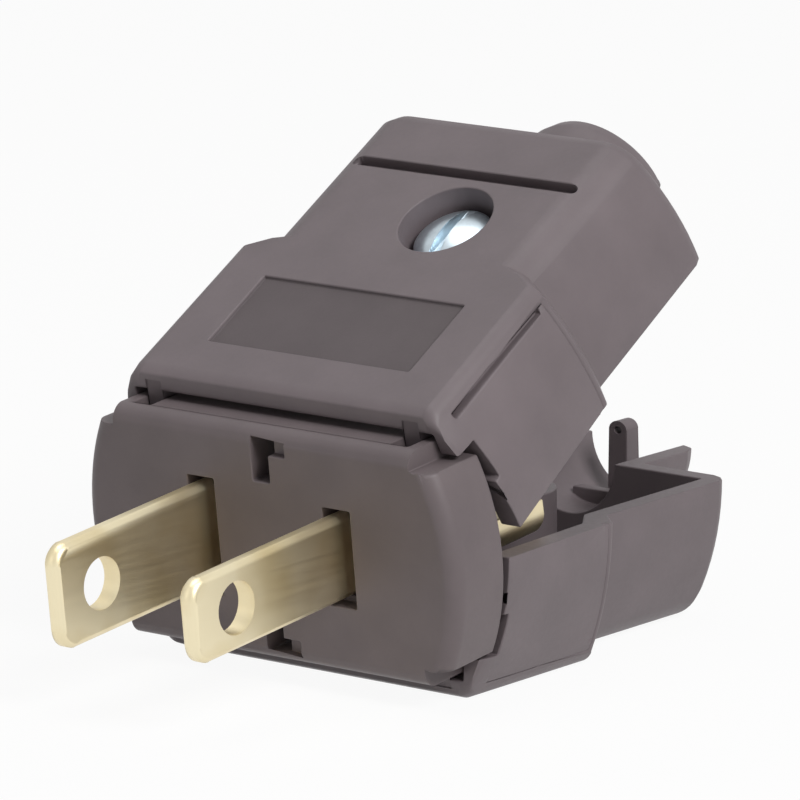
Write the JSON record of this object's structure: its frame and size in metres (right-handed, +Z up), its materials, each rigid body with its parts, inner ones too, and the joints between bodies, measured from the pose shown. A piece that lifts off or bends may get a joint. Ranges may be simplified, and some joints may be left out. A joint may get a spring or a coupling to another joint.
{
  "type": "hinged rewirable plug",
  "caption": "Polarised flat-blade plug whose moulded shell opens as two hinged jaws round the terminals, standing half open on its lower jaw.",
  "frame": {"origin": "point of the lower jaw's flat outer face on the middle plane, level with the closing screw", "axes": "+Y from the blades towards the cord inlet, +Z up from the lower jaw's flat face, +X towards the narrow line blade"},
  "size_m": [0.035, 0.0611, 0.0376],
  "materials": {
    "shell": "satin moulded thermoplastic",
    "block": "satin moulded thermoplastic",
    "blade_brass": "rolled",
    "insert_brass": "turned",
    "screw_steel": "zinc plated"
  },
  "bodies": {
    "lower_jaw": {"lower_jaw": "shell", "closing_insert": "insert_brass"},
    "block": {"face_block": "block", "neutral_blade": "blade_brass", "line_blade": "blade_brass"},
    "upper_jaw": {"upper_jaw": "shell"},
    "closing_screw": {"closing_screw": "screw_steel"},
    "neutral_terminal_screw": {"neutral_terminal_screw": "screw_steel"},
    "line_terminal_screw": {"line_terminal_screw": "screw_steel"}
  },
  "joints": [
    {"name": "lower_hinge", "type": "hinge", "parent": "lower_jaw", "child": "block", "pos_m": [0, -0.0214, 0.00515], "axis": [1, 0, 0], "range_deg": [-6.4, 30]},
    {"name": "upper_hinge", "type": "hinge", "parent": "block", "child": "upper_jaw", "pos_m": [0, -0.02272, 0.01688], "axis": [1, 0, 0], "range_deg": [-24, 12]},
    {"name": "closing_screw_travel", "type": "slide", "parent": "upper_jaw", "child": "closing_screw", "axis": [0, 0.506, -0.8625], "range_m": [0, 0.003]},
    {"name": "neutral_screw_travel", "type": "slide", "parent": "block", "child": "neutral_terminal_screw", "axis": [0, -0.1115, 0.9938], "range_m": [0, 0.0025]},
    {"name": "line_screw_travel", "type": "slide", "parent": "block", "child": "line_terminal_screw", "axis": [0, -0.1115, 0.9938], "range_m": [0, 0.0025]}
  ]
}
